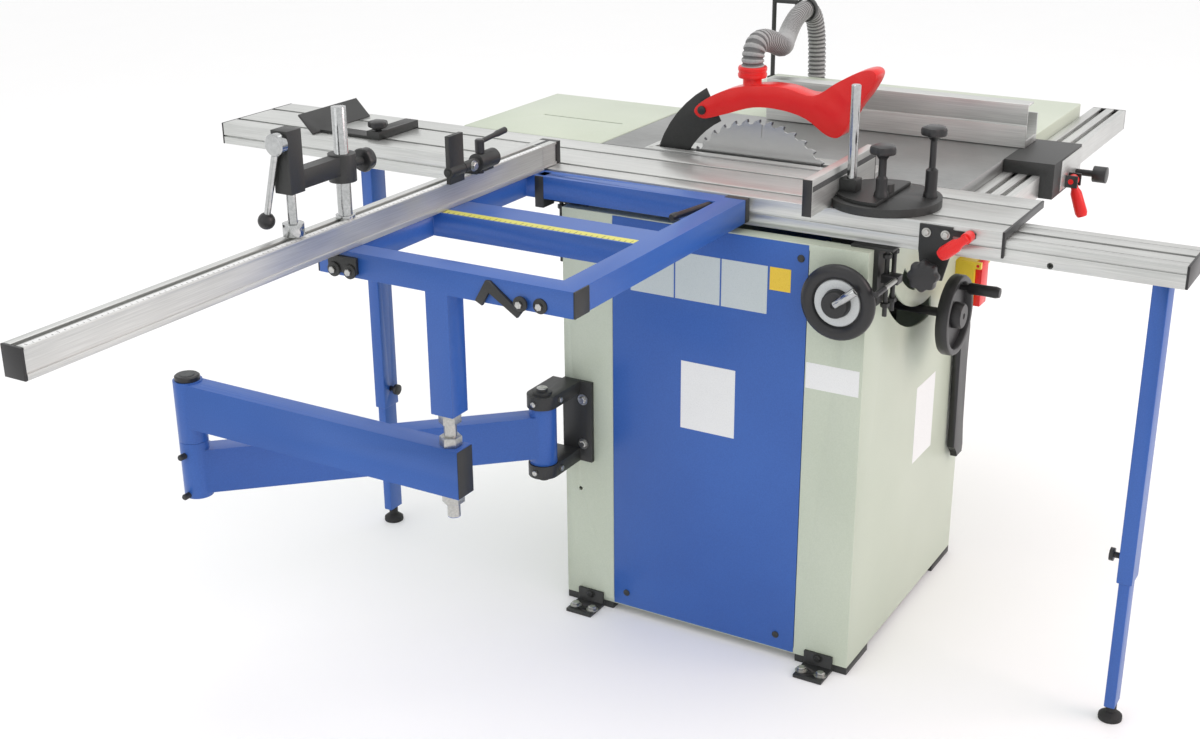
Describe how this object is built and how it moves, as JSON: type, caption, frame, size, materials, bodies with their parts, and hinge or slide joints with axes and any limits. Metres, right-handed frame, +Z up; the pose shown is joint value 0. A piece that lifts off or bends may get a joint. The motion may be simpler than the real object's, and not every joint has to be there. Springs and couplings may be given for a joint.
{
  "type": "sliding table saw",
  "caption": "Sliding table saw on a sheet-steel cabinet, with a tilting blade, rail-mounted sliding table, outrigger with crosscut fence on a swing arm, rip fence and extraction hose.",
  "frame": {"origin": "on the floor at the middle of the cabinet, which is the middle of its floor bolts", "axes": "+X to the operator's right, +Y along the feed away from the operator, +Z up"},
  "size_m": [2.241, 1.875, 1.1006],
  "materials": {
    "cream_paint": "semi-gloss paint",
    "blue_paint": "semi-gloss paint",
    "black_paint": "satin paint",
    "alloy": "anodised extrusion",
    "steel": "machined",
    "iron": "ground casting",
    "red_plastic": "moulded",
    "black_plastic": "moulded",
    "yellow_plastic": "moulded",
    "green_plastic": "moulded",
    "hose_plastic": "ribbed tube"
  },
  "bodies": {
    "cabinet": {"cabinet_shell": "cream_paint", "side_panel": "blue_paint", "base_feet": "black_paint", "main_table": "iron", "throat_plate": "alloy", "rear_table": "cream_paint", "right_table": "cream_paint", "fence_rail": "alloy", "slide_rail": "alloy", "rail_brackets": "black_paint", "leg_tubes": "blue_paint", "arm_bracket": "black_paint", "switch_box": "yellow_plastic", "hose_fittings": "black_paint", "extraction_hose": "hose_plastic"},
    "front_leg": {"front_leg_inner": "blue_paint"},
    "rear_leg": {"rear_leg_inner": "blue_paint"},
    "front_screw": {"front_leg_screw": "black_plastic"},
    "rear_screw": {"rear_leg_screw": "black_plastic"},
    "lower_arm": {"lower_arm": "blue_paint"},
    "upper_arm": {"upper_arm": "blue_paint"},
    "carriage": {"sliding_table": "alloy", "lock_plate": "black_paint", "outrigger_frame": "blue_paint", "edging_shoe": "black_paint"},
    "lock_lever": {"lock_lever": "red_plastic"},
    "lock_knob": {"lock_knob": "black_plastic"},
    "shoe_knob": {"shoe_knob": "black_plastic"},
    "cradle": {"tilt_cradle": "iron"},
    "tilt_wheel": {"tilt_wheel": "black_plastic"},
    "tilt_handle": {"tilt_handle": "steel"},
    "raise_wheel": {"raise_wheel": "black_plastic"},
    "arbor": {"arbor_housing": "iron", "motor": "steel", "drive_belt": "black_plastic", "riving_knife": "black_paint"},
    "blade": {"arbor_shaft": "steel", "saw_blade": "steel"},
    "motor_pulley": {"motor_pulley": "iron"},
    "guard": {"blade_guard": "red_plastic"},
    "rip_carrier": {"rip_carrier": "black_paint"},
    "rip_fence": {"rip_fence": "alloy"},
    "rip_lever": {"rip_lever": "red_plastic"},
    "rip_knob": {"rip_knob": "black_plastic"},
    "mitre_base": {"mitre_base": "black_paint"},
    "mitre_fence": {"mitre_fence": "alloy"},
    "mitre_lock_knob": {"mitre_lock_knob": "black_plastic"},
    "mitre_clamp_knob": {"mitre_clamp_knob": "black_plastic"},
    "crosscut": {"crosscut_fence": "alloy", "clamp_post": "steel"},
    "stop_block": {"stop_block": "black_paint"},
    "flip_stop": {"flip_stop": "black_paint"},
    "stop_lever": {"stop_lever": "black_plastic"},
    "clamp_arm": {"clamp_arm": "black_paint"},
    "clamp_spindle": {"clamp_spindle": "steel"},
    "clamp_lever": {"clamp_lever": "steel"},
    "start_button": {"start_button": "green_plastic"},
    "stop_button": {"stop_button": "red_plastic"},
    "switch_flap": {"switch_flap": "red_plastic"},
    "push_stick": {"push_stick": "black_plastic"}
  },
  "joints": [
    {"name": "table_slide", "type": "slide", "parent": "cabinet", "child": "carriage", "axis": [0, 1, 0], "range_m": [-0.9, 0.03]},
    {"name": "shoulder", "type": "hinge", "parent": "cabinet", "child": "lower_arm", "pos_m": [-0.36, 0.28, 0.379], "axis": [0, 0, 1], "range_deg": [-4, 96]},
    {"name": "elbow", "type": "hinge", "parent": "lower_arm", "child": "upper_arm", "pos_m": [-0.78, 0.722, 0.434], "axis": [0, 0, 1], "range_deg": [-98, 4]},
    {"name": "front_leg_slide", "type": "slide", "parent": "cabinet", "child": "front_leg", "axis": [0, 0, 1], "range_m": [0, 0.12]},
    {"name": "rear_leg_slide", "type": "slide", "parent": "cabinet", "child": "rear_leg", "axis": [0, 0, 1], "range_m": [0, 0.12]},
    {"name": "front_screw_turn", "type": "hinge", "parent": "cabinet", "child": "front_screw", "pos_m": [-0.173, -0.7125, 0.304], "axis": [0, 1, 0], "continuous": true},
    {"name": "rear_screw_turn", "type": "hinge", "parent": "cabinet", "child": "rear_screw", "pos_m": [-0.173, 0.7725, 0.304], "axis": [0, 1, 0], "continuous": true},
    {"name": "lock_lever_turn", "type": "hinge", "parent": "carriage", "child": "lock_lever", "pos_m": [-0.24, -0.44, 0.823], "axis": [1, 0, 0], "range_deg": [0, 45]},
    {"name": "lock_knob_turn", "type": "hinge", "parent": "carriage", "child": "lock_knob", "pos_m": [-0.24, -0.38, 0.757], "axis": [1, 0, 0], "continuous": true},
    {"name": "shoe_knob_turn", "type": "hinge", "parent": "carriage", "child": "shoe_knob", "pos_m": [-0.191, 0.751, 0.85], "axis": [0, 0, 1], "continuous": true},
    {"name": "blade_tilt", "type": "hinge", "parent": "cabinet", "child": "cradle", "pos_m": [0.018, 0, 0.835], "axis": [0, 1, 0], "range_deg": [0, 45], "deforming": ["extraction_hose"]},
    {"name": "tilt_wheel_turn", "type": "hinge", "parent": "cabinet", "child": "tilt_wheel", "pos_m": [-0.294, -0.253, 0.702], "axis": [1, 0, 0], "range_deg": [-2, 362]},
    {"name": "tilt_handle_fold", "type": "hinge", "parent": "tilt_wheel", "child": "tilt_handle", "pos_m": [-0.3313, -0.253, 0.702], "axis": [0, -0.6428, -0.766], "range_deg": [0, 90]},
    {"name": "blade_raise", "type": "slide", "parent": "cradle", "child": "arbor", "axis": [0, 0, 1], "range_m": [-0.042, 0.03], "deforming": ["extraction_hose"]},
    {"name": "raise_wheel_turn", "type": "hinge", "parent": "cradle", "child": "raise_wheel", "pos_m": [0.008, -0.334, 0.601], "axis": [0, 1, 0], "range_deg": [-304, 218]},
    {"name": "blade_spin", "type": "hinge", "parent": "arbor", "child": "blade", "pos_m": [0.018, 0.043, 0.7475], "axis": [1, 0, 0], "continuous": true},
    {"name": "motor_spin", "type": "hinge", "parent": "arbor", "child": "motor_pulley", "pos_m": [0.094, 0.15, 0.5605], "axis": [1, 0, 0], "continuous": true},
    {"name": "guard_pivot", "type": "hinge", "parent": "arbor", "child": "guard", "pos_m": [0.018, 0.15, 0.915], "axis": [-1, 0, 0], "range_deg": [0, 40], "deforming": ["extraction_hose"]},
    {"name": "rip_slide", "type": "slide", "parent": "cabinet", "child": "rip_carrier", "axis": [1, 0, 0], "range_m": [-0.235, 0.35]},
    {"name": "rip_fence_shift", "type": "slide", "parent": "rip_carrier", "child": "rip_fence", "axis": [0, 1, 0], "range_m": [-0.06, 0.15]},
    {"name": "rip_lever_turn", "type": "hinge", "parent": "rip_carrier", "child": "rip_lever", "pos_m": [0.304, -0.455, 0.789], "axis": [-1, 0, 0], "range_deg": [0, 70]},
    {"name": "rip_knob_turn", "type": "hinge", "parent": "rip_carrier", "child": "rip_knob", "pos_m": [0.365, -0.46, 0.79], "axis": [0, 1, 0], "continuous": true},
    {"name": "mitre_slide", "type": "slide", "parent": "carriage", "child": "mitre_base", "axis": [0, 1, 0], "range_m": [-0.1, 0.3]},
    {"name": "mitre_swivel", "type": "hinge", "parent": "mitre_base", "child": "mitre_fence", "pos_m": [-0.165, -0.271, 0.852], "axis": [0, 0, 1], "range_deg": [-45, 45]},
    {"name": "mitre_lock_turn", "type": "hinge", "parent": "mitre_fence", "child": "mitre_lock_knob", "pos_m": [-0.199, -0.276, 0.86], "axis": [0, 0, 1], "continuous": true},
    {"name": "mitre_clamp_turn", "type": "hinge", "parent": "mitre_base", "child": "mitre_clamp_knob", "pos_m": [-0.139, -0.338, 0.86], "axis": [0, 0, 1], "continuous": true},
    {"name": "crosscut_pivot", "type": "hinge", "parent": "carriage", "child": "crosscut", "pos_m": [-0.262, 0.357, 0.833], "axis": [0, 0, 1], "range_deg": [0, 45]},
    {"name": "stop_slide", "type": "slide", "parent": "crosscut", "child": "stop_block", "axis": [1, 0, 0], "range_m": [-0.2, 0.1]},
    {"name": "flip_stop_turn", "type": "hinge", "parent": "stop_block", "child": "flip_stop", "pos_m": [-0.525, 0.331, 0.8966], "axis": [1, 0, 0], "range_deg": [0, 180]},
    {"name": "stop_lever_turn", "type": "hinge", "parent": "stop_block", "child": "stop_lever", "pos_m": [-0.454, 0.331, 0.911], "axis": [0, 0, 1], "range_deg": [-60, 60]},
    {"name": "clamp_slide", "type": "slide", "parent": "crosscut", "child": "clamp_arm", "axis": [0, 0, 1], "range_m": [0, 0.06]},
    {"name": "clamp_lever_turn", "type": "hinge", "parent": "clamp_arm", "child": "clamp_lever", "pos_m": [-0.893, 0.357, 1.0183], "axis": [1, 0, 0], "range_deg": [0, 90]},
    {"name": "clamp_spindle_slide", "type": "slide", "parent": "clamp_arm", "child": "clamp_spindle", "axis": [0, 0, 1], "range_m": [-0.0005, 0.0085]},
    {"name": "start_button_press", "type": "slide", "parent": "cabinet", "child": "start_button", "axis": [0, 1, 0], "range_m": [0, 0.003], "stiffness_N_per_m": 500},
    {"name": "stop_button_press", "type": "slide", "parent": "cabinet", "child": "stop_button", "axis": [0, 1, 0], "range_m": [0, 0.003], "stiffness_N_per_m": 500},
    {"name": "switch_flap_turn", "type": "hinge", "parent": "cabinet", "child": "switch_flap", "pos_m": [0.205, -0.33, 0.64], "axis": [-1, 0, 0], "range_deg": [0, 100]},
    {"name": "push_stick_swing", "type": "hinge", "parent": "cabinet", "child": "push_stick", "pos_m": [0.215, -0.298, 0.525], "axis": [0, 1, 0], "range_deg": [-25, 25]}
  ],
  "couplings": [
    {"joint": "shoulder", "follows": "table_slide", "rad_per_m": -1.846},
    {"joint": "elbow", "follows": "table_slide", "rad_per_m": 1.8824},
    {"joint": "tilt_wheel_turn", "follows": "blade_tilt", "ratio": 8},
    {"joint": "raise_wheel_turn", "follows": "blade_raise", "rad_per_m": 125.66},
    {"joint": "motor_spin", "follows": "blade_spin", "ratio": 0.74082},
    {"joint": "clamp_spindle_slide", "follows": "clamp_lever_turn", "m_per_rad": 0.005}
  ]
}
